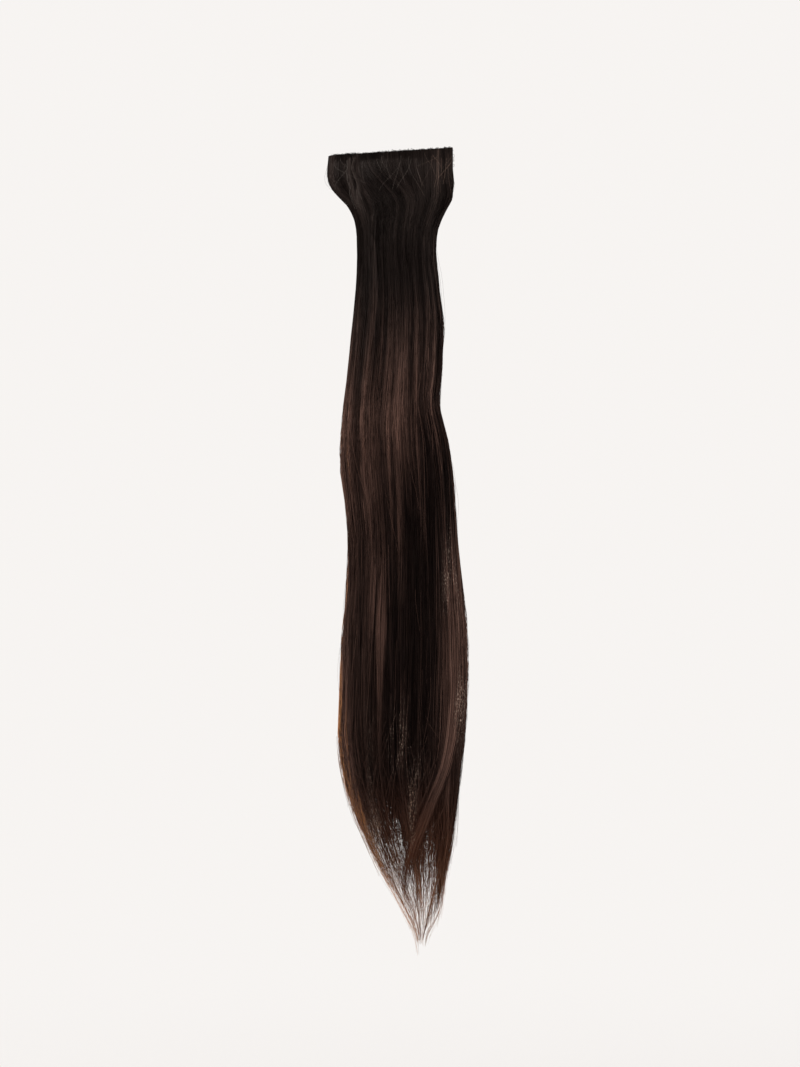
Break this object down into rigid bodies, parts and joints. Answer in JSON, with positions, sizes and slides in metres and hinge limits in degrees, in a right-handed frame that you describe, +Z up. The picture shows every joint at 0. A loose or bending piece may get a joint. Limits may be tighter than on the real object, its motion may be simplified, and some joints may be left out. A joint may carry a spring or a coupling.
{
  "type": "filler hairpiece",
  "caption": "Narrow clip-in hair weft folded once, hair sides out, with snap clips inside the fold and long straight dark hair hanging in one tapering tress.",
  "frame": {"origin": "middle of the seam's top edge, between the two layers of the folded weft, where the piece is pinned on or held", "axes": "+Z up against the fall of the hair, -Y towards the viewer of the picture, +X towards the free ends of the folded weft"},
  "size_m": [0.0804, 0.0254, 0.4592],
  "materials": {
    "hair": "straight natural hair with a soft sheen",
    "tape": "woven, matt",
    "thread": "sewn roll of hair roots, dull",
    "clip_steel": "dark brown lacquer, satin"
  },
  "bodies": {
    "root": {"hair_tress": "hair", "weft_band": "tape", "sewn_seam": "thread", "snap_clip_front": "clip_steel", "snap_clip_back": "clip_steel"}
  },
  "joints": []
}
